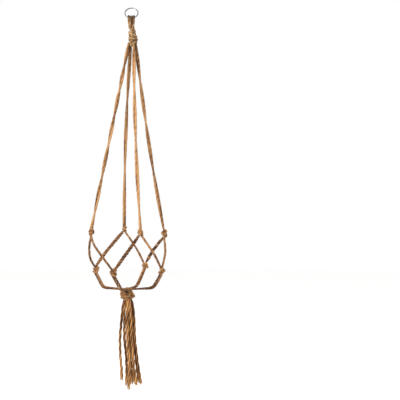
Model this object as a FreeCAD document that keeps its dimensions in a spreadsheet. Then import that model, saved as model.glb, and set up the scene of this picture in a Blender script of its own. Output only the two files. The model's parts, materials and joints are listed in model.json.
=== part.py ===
"""Hanging jute plant holder: a metal ring, four folded cords knotted into a net, and a tassel.

The origin is the hook seat, the highest point inside the ring.  X runs to the right, Y runs to
the back and Z runs up.  Everything below the ring hangs in the plane of the ring's lowest wire.
"""
import FreeCAD, Part
import math
import os
import Sketcher

from FreeCAD import Placement, Rotation, Vector

doc = FreeCAD.newDocument("plant_hanger")

# ---------------------------------------------------------------- driving dimensions (mm, degrees)
SIZES = [
    ("ring_mean_radius", 18.0, "ring, centre to the middle of its wire"),
    ("ring_wire_radius", 1.5, "half the ring's wire thickness"),
    ("ring_lean", 29.0, "lean of the ring's plane away from upright"),
    ("cord_diameter", 4.6, "cord under load: loops, legs and base"),
    ("net_diameter", 5.4, "cord in the net, where it carries less"),
    ("open_diameter", 8.0, "net cord whose plies have opened"),
    ("strand_diameter", 5.6, "tassel strand, hanging slack"),
    ("cord_gap", 0.15, "half the space between the two cords of a pair"),
    ("loop_clearance", 1.0, "space between a loop and the ring's wire"),
    ("loop_spacing", 5.0, "from one loop to the next along the wire"),
    ("top_knot_height", 44.0, "top knot"),
    ("top_knot_radius", 12.0, "top knot at its middle"),
    ("top_knot_end", 11.2, "top knot at its two ends"),
    ("upper_knot_height", 20.0, "knot at the foot of a leg"),
    ("upper_knot_radius", 7.8, "knot at the foot of a leg, middle"),
    ("upper_knot_end", 6.2, "knot at the foot of a leg, ends"),
    ("lower_knot_height", 19.0, "knot at the foot of the net"),
    ("lower_knot_radius", 8.2, "knot at the foot of the net, middle"),
    ("lower_knot_end", 6.4, "knot at the foot of the net, ends"),
    ("gathering_knot_height", 27.5, "knot that gathers every cord under the pot"),
    ("gathering_knot_radius", 20.0, "gathering knot, middle"),
    ("gathering_knot_end", 14.0, "gathering knot, ends"),
    ("strand_drop", 2.5, "space between the gathering knot and a strand's hinge"),
]

sheet = doc.addObject("Spreadsheet::Sheet", "sizes")
for row, (alias, value, note) in enumerate(SIZES, start=1):
    sheet.set(f"A{row}", alias)
    sheet.set(f"B{row}", str(value))
    sheet.set(f"C{row}", note)
    sheet.setAlias(f"B{row}", alias)
doc.recompute()


def size(alias):
    """Value of one cell of the sheet."""
    return float(sheet.get(alias))


def wire_drop(across):
    """Distance down the ring's plane from the hook seat to the wire's centre, low on the ring."""
    return RING_CENTRE_DROP + math.sqrt(size("ring_mean_radius") ** 2 - across ** 2)


# ---------------------------------------------------------------- places (mm)
LEAN = math.radians(size("ring_lean"))
RING_CENTRE_DROP = size("ring_mean_radius") - size("ring_wire_radius")
LOOPS_ACROSS = [place * size("loop_spacing") for place in (-1.5, -0.5, 0.5, 1.5)]
PIVOT_DROP = sum(wire_drop(across) for across in LOOPS_ACROSS) / len(LOOPS_ACROSS)
PIVOT = Vector(0, -PIVOT_DROP * math.sin(LEAN), -PIVOT_DROP * math.cos(LEAN))
TOP_KNOT = Vector(3, PIVOT.y, -79.4)
GATHERING_KNOT = Vector(-10.5, PIVOT.y, -785.85)
# The basket's axis stands a little forward, so that the whole hangs straight below the pivot.
BASKET_AXIS = Vector(-11, PIVOT.y - 1.2, 0)
TASSEL_AXIS = Vector(-9.6, PIVOT.y, 0)
# How far a cord's end reaches into its knot.
SINK = 1.0

# Knots of the net as azimuth (degrees from +X towards the back), radius and height.
UPPER_KNOTS = {
    "left": (191, 98, -619),
    "back": (100, 100, -613),
    "front": (295, 102, -615),
    "right": (8, 101, -623),
}
LOWER_KNOTS = {
    "back_left": (156, 102, -724),
    "front_left": (251, 90, -723),
    "back_right": (64, 95, -717),
    "front_right": (337, 104, -722),
}

# Where each loop runs and enters the top knot: across at the knot, then in front of or behind the
# pivot half-way down and at the knot.
LOOP_ENTRIES = [(-4.4, 3.1, 2.5), (-2.4, 7.2, 7.4), (2.4, 7.2, 7.4), (4.4, 3.1, 2.5)]
LOOP_HALF_WAY = 15.0

# Legs: how far right of the pivot and how far behind it the pair leaves the top knot, turns of the
# pair, points, and sideways bow.  A pair is twisted tightest near the top knot.
LEGS = {
    "left": (-6.3, -3.5, 3.17, 16, 0.3),
    "back": (-1.5, 3.5, 1.32, 11, -5.0),
    "front": (7.4, -3.5, 1.60, 11, -4.2),
    "right": (12.2, 3.5, 1.99, 12, -5.2),
}
TWIST_EASE = 0.32

# Net cords between an upper and a lower knot: azimuth, radius, height.
NET = {
    "left_to_back_left": (
        "net_diameter",
        [(189.3, 98, -628), (183, 103.5, -650), (176, 106, -674), (168.5, 106.5, -697), (158, 102, -716)],
    ),
    "left_to_front_left": (
        "net_diameter",
        [(193, 98, -628), (209, 102, -645), (231, 102, -674), (249.3, 91, -715)],
    ),
    "back_to_back_left": (
        "open_diameter",
        [(102.6, 100, -622), (118, 96, -650), (142, 97, -690), (153.6, 102, -716)],
    ),
    "back_to_back_right": (
        "net_diameter",
        [(98.4, 100, -622), (87, 101, -650), (75, 100, -683), (65.8, 95, -709)],
    ),
    "front_to_front_left": (
        "open_diameter",
        [(292.5, 102, -624), (284, 99, -647), (268, 95, -684), (253.8, 90, -715)],
    ),
    "front_to_front_right": (
        "net_diameter",
        [(296.6, 102, -624), (306, 104, -647), (322, 105, -682), (335.3, 104, -714)],
    ),
    "right_to_back_right": (
        "open_diameter",
        [(10.5, 101, -632), (25, 93, -650), (44, 88, -677), (61.3, 95, -709)],
    ),
    "right_to_front_right": (
        "net_diameter",
        [(6.2, 101, -632), (359, 105, -657), (349, 107, -685), (338.7, 104, -714)],
    ),
}

# Base pairs from a lower knot, round the foot of the pot and into the gathering knot: the pair's
# centre line, the pair's angle at each of its points, and how far the pair opens in the middle.
BASE = {
    "back_left": (
        [(156, 101, -732), (164, 77, -762), (167, 68, -772), (169, 46, -773.5), (171, 14, -775)],
        [70, 70, 45, 10, 0],
        0,
    ),
    "front_left": (
        [(251, 89, -731), (258, 75, -758), (261, 67, -770), (263, 46, -773), (265, 14, -776)],
        [-30, -22, -15, -8, 0],
        0.3,
    ),
    "back_right": (
        [(64, 94, -725), (68.5, 80, -757), (73, 70, -775), (77, 46, -776), (80, 14, -776)],
        [-30, -20, -10, 0, 0],
        0,
    ),
    "front_right": (
        [(337, 103, -730), (344, 82, -761), (348, 69, -771), (350, 46, -772.5), (352, 14, -775)],
        [60, 65, 50, 12, 0],
        0,
    ),
}

# Tassel strands: azimuth of the hinge, then outward, sideways and downward from the hinge.
STRANDS = [
    (180, [
        (0, 0, 0), (4, 0, 9), (6.5, 0, 25), (10, -0.5, 62), (14.3, 0, 110), (13, -1, 158),
        (8.7, 0, 200), (9.5, 0, 226),
    ]),
    (225, [
        (0, 0, 0), (3.5, -0.5, 9), (5, 0, 25), (4.8, 0.7, 62), (5.5, 0.5, 110),
        (1.5, 5.7, 158), (1, 5.9, 200), (2.3, 6.5, 238),
    ]),
    (270, [
        (0, 0, 0), (1, 0, 9), (3.5, 0, 25), (7.5, -0.4, 62), (9.5, 0.5, 110),
        (10.5, 5, 158), (10.5, 6, 200), (11, 4.3, 246),
    ]),
    (315, [
        (0, 0, 0), (0.5, 0, 9), (2.5, 0, 25), (5.5, 0.3, 62), (7, 0.2, 110),
        (10.5, 3.1, 158), (13.5, 4.3, 200), (19, 8.7, 236),
    ]),
    (0, [
        (0, 0, 0), (3.5, 0, 9), (6.8, 0, 25), (9.7, 0.5, 62), (10.7, 0, 110),
        (16.7, 0, 158), (21.7, 1, 200), (29.3, 0.5, 236),
    ]),
    (45, [
        (0, 0, 0), (1, 0.5, 9), (3.5, 0, 25), (8.5, -1.7, 62), (9.5, -2.7, 110),
        (14.5, -7.4, 158), (18, -10.7, 200), (22, -12.9, 233),
    ]),
    (90, [
        (0, 0, 0), (2, -0.5, 9), (5, -2.5, 25), (6.5, -3.5, 62), (8, -4.9, 110),
        (9, -10.4, 158), (10, -14.6, 200), (10.5, -15.9, 239),
    ]),
    (135, [
        (0, 0, 0), (0, -1, 9), (-1, -4.1, 25), (-1.5, -5.6, 62), (-1.5, -7.3, 110),
        (-1.5, -11.1, 158), (-1.5, -15.8, 200), (-1.5, -18.9, 240),
    ]),
]


# ---------------------------------------------------------------- helpers
def around(axis, azimuth, radius, height):
    """Point at an azimuth and radius about an upright axis."""
    angle = math.radians(azimuth)
    return axis + Vector(radius * math.cos(angle), radius * math.sin(angle), height)


def tangential(azimuth):
    """Level unit vector at right angles to an azimuth."""
    angle = math.radians(azimuth)
    return Vector(-math.sin(angle), math.cos(angle), 0)


def corner_arc(before, corner, after):
    """Tangent points and middle of the arc that rounds one corner, and its radius."""
    back = before - corner
    ahead = after - corner
    half_turn = (math.pi - back.getAngle(ahead)) / 2
    cut = 0.45 * min(back.Length, ahead.Length)
    radius = cut / math.tan(half_turn)
    back.normalize()
    ahead.normalize()
    inward = (back + ahead).normalize()
    middle = corner + inward * (radius / math.cos(half_turn) - radius)
    return corner + back * cut, middle, corner + ahead * cut, radius


def cord_wire(points):
    """Straight runs joined by tangent arcs, and the smallest arc's radius."""
    edges = []
    radii = []
    start = points[0]
    for before, corner, after in zip(points, points[1:], points[2:]):
        arc_start, arc_middle, arc_end, radius = corner_arc(before, corner, after)
        edges.append(Part.LineSegment(start, arc_start).toShape())
        edges.append(Part.Arc(arc_start, arc_middle, arc_end).toShape())
        radii.append(radius)
        start = arc_end
    edges.append(Part.LineSegment(start, points[-1]).toShape())
    return Part.Wire(edges), min(radii)


def add_cord(label, diameter, points):
    """One cord as a tube along its route."""
    path, tightest = cord_wire(points)
    section = Part.Wire(Part.Circle(points[0], points[1] - points[0], diameter / 2).toShape())
    tube = Part.Wire(path).makePipeShell([section], True, False)
    expected = math.pi * (diameter / 2) ** 2 * path.Length
    if abs(tube.Volume - expected) > 0.01 * expected:
        raise RuntimeError(f"{label}: volume {tube.Volume:.0f}, expected {expected:.0f}")
    feature = doc.addObject("Part::Feature", label)
    feature.Label = label
    feature.Shape = tube
    feature.Placement = Placement(Vector(0, 0, 0), Rotation())
    print(f"{label}: length {path.Length:.0f}, tightest arc {tightest:.0f}")
    return feature


def paired_routes(centres, side, angles, diameter, opening=0.0):
    """Routes of two cords side by side, turned to an angle at each point of their centre line."""
    steps = len(centres) - 1
    turned = max(abs(later - earlier) for earlier, later in zip(angles, angles[1:]))
    closed = (diameter / 2 + size("cord_gap")) / math.cos(math.radians(turned) / 2)
    routes = [[], []]
    for index, centre in enumerate(centres):
        along = (centres[min(index + 1, steps)] - centres[max(index - 1, 0)]).normalize()
        across = (side - along * side.dot(along)).normalize()
        normal = along.cross(across)
        angle = math.radians(angles[index])
        reach = closed + opening * math.sin(math.pi * min(index / (steps - 1), 1))
        offset = (across * math.cos(angle) + normal * math.sin(angle)) * reach
        routes[0].append(centre + offset)
        routes[1].append(centre - offset)
    return routes


def add_knot(label, kind, centre, tilt=0.0):
    """A knot as a barrel turned about its own axis, with two flat ends where the cords enter."""
    body = doc.addObject("PartDesign::Body", label)
    body.Label = label
    sketch = body.newObject("Sketcher::SketchObject", label + "_outline")
    plane = next(item for item in body.Origin.OriginFeatures if item.Role == "XZ_Plane")
    sketch.AttachmentSupport = [(plane, "")]
    sketch.MapMode = "FlatFace"
    half = size(kind + "_height") / 2
    end = size(kind + "_end")
    bulge = size(kind + "_radius")
    corners = [Vector(0, -half, 0), Vector(end, -half, 0), Vector(end, half, 0), Vector(0, half, 0)]
    foot = sketch.addGeometry(Part.LineSegment(corners[0], corners[1]))
    flank = sketch.addGeometry(Part.Arc(corners[1], Vector(bulge, 0, 0), corners[2]))
    head = sketch.addGeometry(Part.LineSegment(corners[2], corners[3]))
    core = sketch.addGeometry(Part.LineSegment(corners[3], corners[0]))
    first, last = 1, 2
    low = first if sketch.Geometry[flank].StartPoint.y < 0 else last
    high = last if low == first else first
    sketch.addConstraint(Sketcher.Constraint("Coincident", foot, last, flank, low))
    sketch.addConstraint(Sketcher.Constraint("Coincident", flank, high, head, first))
    sketch.addConstraint(Sketcher.Constraint("Coincident", head, last, core, first))
    sketch.addConstraint(Sketcher.Constraint("Coincident", core, last, foot, first))
    sketch.addConstraint(Sketcher.Constraint("Horizontal", foot))
    sketch.addConstraint(Sketcher.Constraint("Horizontal", head))
    sketch.addConstraint(Sketcher.Constraint("Symmetric", core, first, core, last, -1, 1))
    bound = [
        ("DistanceX", (foot, first, foot, last), end, f"sizes.{kind}_end"),
        ("DistanceX", (head, last, head, first), end, f"sizes.{kind}_end"),
        ("DistanceY", (core, last, core, first), 2 * half, f"sizes.{kind}_height"),
        (
            "Radius",
            (flank,),
            sketch.Geometry[flank].Radius,
            f"((sizes.{kind}_height / 2) ^ 2 + (sizes.{kind}_radius - sizes.{kind}_end) ^ 2)"
            f" / (2 * (sizes.{kind}_radius - sizes.{kind}_end))",
        ),
    ]
    for constraint, where, value, formula in bound:
        index = sketch.addConstraint(Sketcher.Constraint(constraint, *where, value))
        sketch.setExpression(f"Constraints[{index}]", formula)
    turned = body.newObject("PartDesign::Revolution", label + "_turned")
    turned.Profile = sketch
    turned.ReferenceAxis = (sketch, ["V_Axis"])
    turned.Angle = 360.0
    body.Placement = Placement(centre, Rotation(Vector(0, 1, 0), tilt))
    return body


# ---------------------------------------------------------------- the ring
def add_ring():
    """Closed round-wire ring, leaning back at its top."""
    ring = doc.addObject("Part::Torus", "hanging_ring")
    ring.Label = "hanging_ring"
    ring.setExpression("Radius1", "sizes.ring_mean_radius")
    ring.setExpression("Radius2", "sizes.ring_wire_radius")
    centre = Vector(0, -math.sin(LEAN), -math.cos(LEAN)) * RING_CENTRE_DROP
    ring.Placement = Placement(centre, Rotation(Vector(1, 0, 0), 90 - size("ring_lean")))
    return ring


def add_ring_loops():
    """The four cords, each folded over the ring's lowest wire and led down into the top knot."""
    foot = TOP_KNOT.z + size("top_knot_height") / 2 - SINK
    reach = size("ring_wire_radius") + size("loop_clearance") + size("cord_diameter") / 2
    for number, (across, entry) in enumerate(zip(LOOPS_ACROSS, LOOP_ENTRIES), start=1):
        entry_x, half_y, entry_y = entry
        wire_y = -wire_drop(across) * math.sin(LEAN)
        wire_z = -wire_drop(across) * math.cos(LEAN)
        half_x = across + (entry_x - across) * 0.28
        half_z = wire_z - LOOP_HALF_WAY
        route = [
            Vector(entry_x, PIVOT.y - entry_y, foot),
            Vector(half_x, PIVOT.y - half_y, half_z),
            Vector(across, wire_y - reach, wire_z - 5),
            Vector(across, wire_y - reach, wire_z + reach),
            Vector(across, wire_y + reach, wire_z + reach),
            Vector(across, wire_y + reach, wire_z - 5),
            Vector(half_x, PIVOT.y + half_y, half_z),
            Vector(entry_x, PIVOT.y + entry_y, foot),
        ]
        add_cord(f"ring_loop_{number}", size("cord_diameter"), route)


# ---------------------------------------------------------------- legs, net and base
def eased_share(turned):
    """How far down a leg the pair has made a given part of its turns."""
    return (1 + TWIST_EASE - math.sqrt((1 + TWIST_EASE) ** 2 - 4 * TWIST_EASE * turned)) / (2 * TWIST_EASE)


def add_legs():
    """Four twisted pairs from the top knot to the upper knots."""
    head = TOP_KNOT.z - size("top_knot_height") / 2 + SINK
    for name, (across, back, turns, steps, bow) in LEGS.items():
        start = Vector(across, PIVOT.y + back, head)
        knot_azimuth, knot_radius, knot_height = UPPER_KNOTS[name]
        foot = knot_height + size("upper_knot_height") / 2 - SINK
        end = around(BASKET_AXIS, knot_azimuth, knot_radius, foot)
        centres = []
        for index in range(steps + 1):
            share = eased_share(index / steps)
            bowed = Vector(4 * bow * share * (1 - share), 0, 0)
            centres.append(start + (end - start) * share + bowed)
        angles = [360 * turns * index / steps for index in range(steps + 1)]
        routes = paired_routes(centres, Vector(0, 1, 0), angles, size("cord_diameter"))
        for letter, route in zip("ab", routes):
            add_cord(f"leg_{name}_{letter}", size("cord_diameter"), route)


def add_net():
    """Eight single cords that cross from each upper knot to its two lower knots."""
    for name, (diameter, places) in NET.items():
        add_cord("net_" + name, size(diameter), [around(BASKET_AXIS, *place) for place in places])


def add_base():
    """Four pairs that round the foot of the pot and run in to the gathering knot."""
    for name, (places, angles, opening) in BASE.items():
        centres = [around(BASKET_AXIS, *place) for place in places]
        side = tangential(places[0][0])
        routes = paired_routes(centres, side, angles, size("cord_diameter"), opening)
        for letter, route in zip("ab", routes):
            add_cord(f"base_{name}_{letter}", size("cord_diameter"), route)


def add_knots():
    """Every knot of the hanger."""
    add_knot("top_knot", "top_knot", TOP_KNOT)
    for name, place in UPPER_KNOTS.items():
        add_knot("upper_knot_" + name, "upper_knot", around(BASKET_AXIS, *place))
    for name, place in LOWER_KNOTS.items():
        add_knot("lower_knot_" + name, "lower_knot", around(BASKET_AXIS, *place))
    add_knot("gathering_knot", "gathering_knot", GATHERING_KNOT)


# ---------------------------------------------------------------- tassel
def add_tassel():
    """Eight strands in a ring under the gathering knot, each hinged at its top."""
    count = len(STRANDS)
    ring_radius = (size("strand_diameter") + 0.35) / (2 * math.sin(math.pi / count))
    hinge_z = GATHERING_KNOT.z - size("gathering_knot_height") / 2 - size("strand_drop")
    for number, (azimuth, places) in enumerate(STRANDS, start=1):
        side = tangential(azimuth)
        route = []
        for outward, sideways, down in places:
            place = around(TASSEL_AXIS, azimuth, ring_radius + outward, hinge_z - down)
            route.append(place + side * sideways)
        add_cord(f"tassel_strand_{number}", size("strand_diameter"), route)
        print(f"  hinge at {route[0].x:.3f}, {route[0].y:.3f}, {route[0].z:.3f}, azimuth {azimuth}")


print(f"pivot {PIVOT.x:.3f}, {PIVOT.y:.3f}, {PIVOT.z:.3f}")
add_ring()
add_knots()
add_ring_loops()
add_legs()
add_net()
add_base()
add_tassel()
doc.recompute()

# ---------------------------------------------------------------- checks and export
KINDS = ("PartDesign::Body", "Part::Torus", "Part::Feature")
pieces = [item for item in doc.Objects if item.TypeId in KINDS]
for item in doc.Objects:
    if "Invalid" in item.State or "Error" in item.State:
        raise RuntimeError(f"{item.Label} failed: {item.State}")
for piece in pieces:
    if piece.Shape.isNull() or not piece.Shape.isValid():
        raise RuntimeError(f"{piece.Label} has no valid shape")

os.makedirs("parts", exist_ok=True)
for piece in pieces:
    piece.Shape.exportStep(f"parts/{piece.Label}.step")
print(f"{len(pieces)} pieces written")
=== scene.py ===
"""Looks of the hanging jute plant holder: plied cords, hand-tied knots, a frayed tassel and a metal ring.

Lengths are metres in the row frame: X right, Y back, Z up, the hook seat at the origin.
"""
import json
import math

import bpy
import numpy as np
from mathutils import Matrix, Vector


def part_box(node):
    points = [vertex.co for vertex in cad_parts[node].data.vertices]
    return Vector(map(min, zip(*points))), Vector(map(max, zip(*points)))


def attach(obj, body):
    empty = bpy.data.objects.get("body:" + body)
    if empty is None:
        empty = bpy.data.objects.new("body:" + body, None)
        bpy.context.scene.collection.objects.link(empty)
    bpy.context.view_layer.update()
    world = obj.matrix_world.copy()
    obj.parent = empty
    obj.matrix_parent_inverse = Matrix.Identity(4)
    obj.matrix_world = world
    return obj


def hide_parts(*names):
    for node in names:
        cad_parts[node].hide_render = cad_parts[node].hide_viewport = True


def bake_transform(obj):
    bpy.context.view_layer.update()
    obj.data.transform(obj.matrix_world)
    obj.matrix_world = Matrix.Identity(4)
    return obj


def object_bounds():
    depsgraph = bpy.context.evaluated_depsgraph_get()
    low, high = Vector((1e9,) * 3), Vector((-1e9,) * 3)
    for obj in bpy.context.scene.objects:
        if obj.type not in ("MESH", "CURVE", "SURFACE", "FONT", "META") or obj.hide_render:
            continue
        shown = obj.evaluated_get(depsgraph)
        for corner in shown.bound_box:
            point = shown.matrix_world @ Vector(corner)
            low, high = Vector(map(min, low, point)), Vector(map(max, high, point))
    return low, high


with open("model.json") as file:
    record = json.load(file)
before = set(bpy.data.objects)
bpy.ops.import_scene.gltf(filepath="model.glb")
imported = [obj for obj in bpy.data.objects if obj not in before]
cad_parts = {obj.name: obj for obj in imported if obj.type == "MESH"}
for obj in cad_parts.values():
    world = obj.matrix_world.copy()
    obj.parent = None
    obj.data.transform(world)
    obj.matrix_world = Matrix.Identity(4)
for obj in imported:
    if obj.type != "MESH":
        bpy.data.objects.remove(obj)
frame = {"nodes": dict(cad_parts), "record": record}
CAD_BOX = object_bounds()
RECORD = frame["record"]
JOINTS = {joint["name"]: joint for joint in RECORD["behaviour"]["joints"]}
MOUNTS = {mount["name"]: mount for mount in RECORD["mounts"]}
random = np.random.default_rng(7)

# ---------------------------------------------------------------- sizes and places
CORD = 0.0046
NET_CORD = 0.0054
OPEN_CORD = 0.0080
STRAND = 0.0056
CORD_GAP = 0.00015
SINK = 0.001

PIVOT = Vector(JOINTS["ring_pivot"]["pos_m"])
POT_SEAT = Vector(MOUNTS["pot_seat"]["pos_m"])


def middle(node):
    """Middle of a CAD node's box."""
    low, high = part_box(node)
    return (Vector(low) + Vector(high)) / 2


def top_of(node):
    """Height of a CAD node's highest point."""
    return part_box(node)[1][2]


def foot_of(node):
    """Height of a CAD node's lowest point."""
    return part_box(node)[0][2]


TOP_KNOT = middle("top_knot")
GATHERING_KNOT = middle("gathering_knot")
BASKET_AXIS = Vector((POT_SEAT.x, POT_SEAT.y, 0))

# ---------------------------------------------------------------- routes, as in the CAD part
LOOPS_ACROSS = [-0.0075, -0.0025, 0.0025, 0.0075]
# Where each loop enters the top knot: across, then in front of or behind the pivot half-way down
# and at the knot.
LOOP_ENTRIES = [
    (-0.0044, 0.0031, 0.0025),
    (-0.0024, 0.0072, 0.0074),
    (0.0024, 0.0072, 0.0074),
    (0.0044, 0.0031, 0.0025),
]
LOOP_HALF_WAY = 0.015
# How far a loop has drawn in towards its entry half-way down, and the straight side of its fold.
LOOP_DRAWN_IN = 0.28
LOOP_SIDE = 0.005
RING_LEAN = math.radians(29)
RING_RADIUS = 0.018
RING_WIRE = 0.0015
LOOP_CLEARANCE = 0.0010
LOOP_REACH = RING_WIRE + LOOP_CLEARANCE + CORD / 2

# How far right of the pivot and how far behind it the pair leaves the top knot, turns of the pair,
# points, and sideways bow.
LEGS = {
    "left": (-0.0063, -0.0035, 3.17, 16, 0.0003),
    "back": (-0.0015, 0.0035, 1.32, 11, -0.005),
    "front": (0.0074, -0.0035, 1.60, 11, -0.0042),
    "right": (0.0122, 0.0035, 1.99, 12, -0.0052),
}
# By how much of itself a pair's twist is tighter at the top of a leg, and looser at its foot.
TWIST_EASE = 0.32

# Azimuth, radius and height about the basket's axis.
NET = {
    "left_to_back_left": (
        NET_CORD,
        [(189.3, 0.098, -0.628), (183, 0.1035, -0.65), (176, 0.106, -0.674),
         (168.5, 0.1065, -0.697), (158, 0.102, -0.716)],
    ),
    "left_to_front_left": (
        NET_CORD,
        [(193, 0.098, -0.628), (209, 0.102, -0.645), (231, 0.102, -0.674), (249.3, 0.091, -0.715)],
    ),
    "back_to_back_left": (
        OPEN_CORD,
        [(102.6, 0.1, -0.622), (118, 0.096, -0.65), (142, 0.097, -0.69), (153.6, 0.102, -0.716)],
    ),
    "back_to_back_right": (
        NET_CORD,
        [(98.4, 0.1, -0.622), (87, 0.101, -0.65), (75, 0.1, -0.683), (65.8, 0.095, -0.709)],
    ),
    "front_to_front_left": (
        OPEN_CORD,
        [(292.5, 0.102, -0.624), (284, 0.099, -0.647), (268, 0.095, -0.684), (253.8, 0.09, -0.715)],
    ),
    "front_to_front_right": (
        NET_CORD,
        [(296.6, 0.102, -0.624), (306, 0.104, -0.647), (322, 0.105, -0.682), (335.3, 0.104, -0.714)],
    ),
    "right_to_back_right": (
        OPEN_CORD,
        [(10.5, 0.101, -0.632), (25, 0.093, -0.65), (44, 0.088, -0.677), (61.3, 0.095, -0.709)],
    ),
    "right_to_front_right": (
        NET_CORD,
        [(6.2, 0.101, -0.632), (359, 0.105, -0.657), (349, 0.107, -0.685), (338.7, 0.104, -0.714)],
    ),
}

# The pair's centre line, the pair's angle at each of its points, and how far the pair opens in the
# middle.
BASE = {
    "back_left": (
        [(156, 0.101, -0.732), (164, 0.077, -0.762), (167, 0.068, -0.772),
         (169, 0.046, -0.7735), (171, 0.014, -0.775)],
        [70, 70, 45, 10, 0],
        0,
    ),
    "front_left": (
        [(251, 0.089, -0.731), (258, 0.075, -0.758), (261, 0.067, -0.77),
         (263, 0.046, -0.773), (265, 0.014, -0.776)],
        [-30, -22, -15, -8, 0],
        0.0003,
    ),
    "back_right": (
        [(64, 0.094, -0.725), (68.5, 0.08, -0.757), (73, 0.07, -0.775),
         (77, 0.046, -0.776), (80, 0.014, -0.776)],
        [-30, -20, -10, 0, 0],
        0,
    ),
    "front_right": (
        [(337, 0.103, -0.73), (344, 0.082, -0.761), (348, 0.069, -0.771),
         (350, 0.046, -0.7725), (352, 0.014, -0.775)],
        [60, 65, 50, 12, 0],
        0,
    ),
}

# A strand's points lie outward, sideways and downward from its hinge.  All strands start with the
# same two: inside the gathering knot, above the CAD strand's end, and at the hinge.
STRAND_HEAD = [(-0.002, 0, -0.009), (0, 0, 0)]
# Azimuth of the hinge, then the strand's other points.
STRANDS = [
    (180, [
        (0.004, 0, 0.009), (0.0065, 0, 0.025),
        (0.01, -0.0005, 0.062), (0.0143, 0, 0.11), (0.013, -0.001, 0.158), (0.0087, 0, 0.2),
        (0.0095, 0, 0.226),
    ]),
    (225, [
        (0.0035, -0.0005, 0.009), (0.005, 0, 0.025),
        (0.0048, 0.0007, 0.062), (0.0055, 0.0005, 0.11), (0.0015, 0.0057, 0.158),
        (0.001, 0.0059, 0.2), (0.0023, 0.0065, 0.238),
    ]),
    (270, [
        (0.001, 0, 0.009), (0.0035, 0, 0.025),
        (0.0075, -0.0004, 0.062), (0.0095, 0.0005, 0.11), (0.0105, 0.005, 0.158),
        (0.0105, 0.006, 0.2), (0.011, 0.0043, 0.246),
    ]),
    (315, [
        (0.0005, 0, 0.009), (0.0025, 0, 0.025),
        (0.0055, 0.0003, 0.062), (0.007, 0.0002, 0.11), (0.0105, 0.0031, 0.158),
        (0.0135, 0.0043, 0.2), (0.019, 0.0087, 0.236),
    ]),
    (0, [
        (0.0035, 0, 0.009), (0.0068, 0, 0.025),
        (0.0097, 0.0005, 0.062), (0.0107, 0, 0.11), (0.0167, 0, 0.158),
        (0.0217, 0.001, 0.2), (0.0293, 0.0005, 0.236),
    ]),
    (45, [
        (0.001, 0.0005, 0.009), (0.0035, 0, 0.025),
        (0.0085, -0.0017, 0.062), (0.0095, -0.0027, 0.11), (0.0145, -0.0074, 0.158),
        (0.018, -0.0107, 0.2), (0.022, -0.0129, 0.233),
    ]),
    (90, [
        (0.002, -0.0005, 0.009), (0.005, -0.0025, 0.025),
        (0.0065, -0.0035, 0.062), (0.008, -0.0049, 0.11), (0.009, -0.0104, 0.158),
        (0.01, -0.0146, 0.2), (0.0105, -0.0159, 0.239),
    ]),
    (135, [
        (0, -0.001, 0.009), (-0.001, -0.0041, 0.025),
        (-0.0015, -0.0056, 0.062), (-0.0015, -0.0073, 0.11), (-0.0015, -0.0111, 0.158),
        (-0.0015, -0.0158, 0.2), (-0.0015, -0.0189, 0.24),
    ]),
]


def radial(azimuth):
    """Level unit vector along an azimuth."""
    angle = math.radians(azimuth)
    return Vector((math.cos(angle), math.sin(angle), 0))


def tangential(azimuth):
    """Level unit vector at right angles to an azimuth."""
    angle = math.radians(azimuth)
    return Vector((-math.sin(angle), math.cos(angle), 0))


def around(axis, azimuth, radius, height):
    """Point at an azimuth and radius about an upright axis."""
    return axis + radial(azimuth) * radius + Vector((0, 0, height))


def paired_routes(centres, side, angles, diameter, opening=0.0):
    """Routes of two cords side by side, turned to an angle at each point of their centre line."""
    steps = len(centres) - 1
    turned = max(abs(later - earlier) for earlier, later in zip(angles, angles[1:]))
    closed = (diameter / 2 + CORD_GAP) / math.cos(math.radians(turned) / 2)
    routes = [[], []]
    for index, centre in enumerate(centres):
        along = (centres[min(index + 1, steps)] - centres[max(index - 1, 0)]).normalized()
        across = (side - along * side.dot(along)).normalized()
        normal = along.cross(across)
        angle = math.radians(angles[index])
        reach = closed + opening * math.sin(math.pi * min(index / (steps - 1), 1))
        offset = (across * math.cos(angle) + normal * math.sin(angle)) * reach
        routes[0].append(centre + offset)
        routes[1].append(centre - offset)
    return routes


# ---------------------------------------------------------------- lines
SAMPLE = 0.0013


def spline_points(points):
    """Points on the smooth line of a route, as Blender draws its NURBS spline."""
    curve = bpy.data.curves.new("route", "CURVE")
    curve.dimensions = "3D"
    curve.resolution_u = 24
    spline = curve.splines.new("NURBS")
    spline.points.add(len(points) - 1)
    for knot, place in zip(spline.points, points):
        knot.co = (*place, 1)
    spline.order_u = 3
    spline.use_endpoint_u = True
    holder = bpy.data.objects.new("route", curve)
    mesh = bpy.data.meshes.new_from_object(holder)
    line = np.array([vertex.co[:] for vertex in mesh.vertices])
    bpy.data.meshes.remove(mesh)
    bpy.data.objects.remove(holder)
    bpy.data.curves.remove(curve)
    return line


# Slanting ways that give a first way across a cord and across a hair.
ASKEW = (0.31, 0.87, 0.38)
ASKEW_HAIR = (0.42, 0.31, 0.85)


class Line:
    """Evenly spaced points on a line, with a frame that doesn't spin carried along it."""

    def __init__(self, points, spacing=SAMPLE):
        points = np.asarray(points, float)
        steps = np.linalg.norm(np.diff(points, axis=0), axis=1)
        points = points[np.r_[True, steps > 1e-7]]
        steps = np.linalg.norm(np.diff(points, axis=0), axis=1)
        run = np.r_[0, np.cumsum(steps)]
        count = max(int(run[-1] / spacing) + 1, 6)
        self.run = np.linspace(0, run[-1], count)
        self.length = run[-1]
        self.place = np.stack([np.interp(self.run, run, points[:, axis]) for axis in range(3)], 1)
        along = np.gradient(self.place, axis=0)
        self.along = along / np.linalg.norm(along, axis=1, keepdims=True)
        first = np.cross(self.along[0], ASKEW)
        normals = [first / np.linalg.norm(first)]
        for tangent in self.along[1:]:
            carried = normals[-1] - tangent * np.dot(normals[-1], tangent)
            normals.append(carried / np.linalg.norm(carried))
        self.normal = np.array(normals)
        self.side = np.cross(self.along, self.normal)


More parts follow.
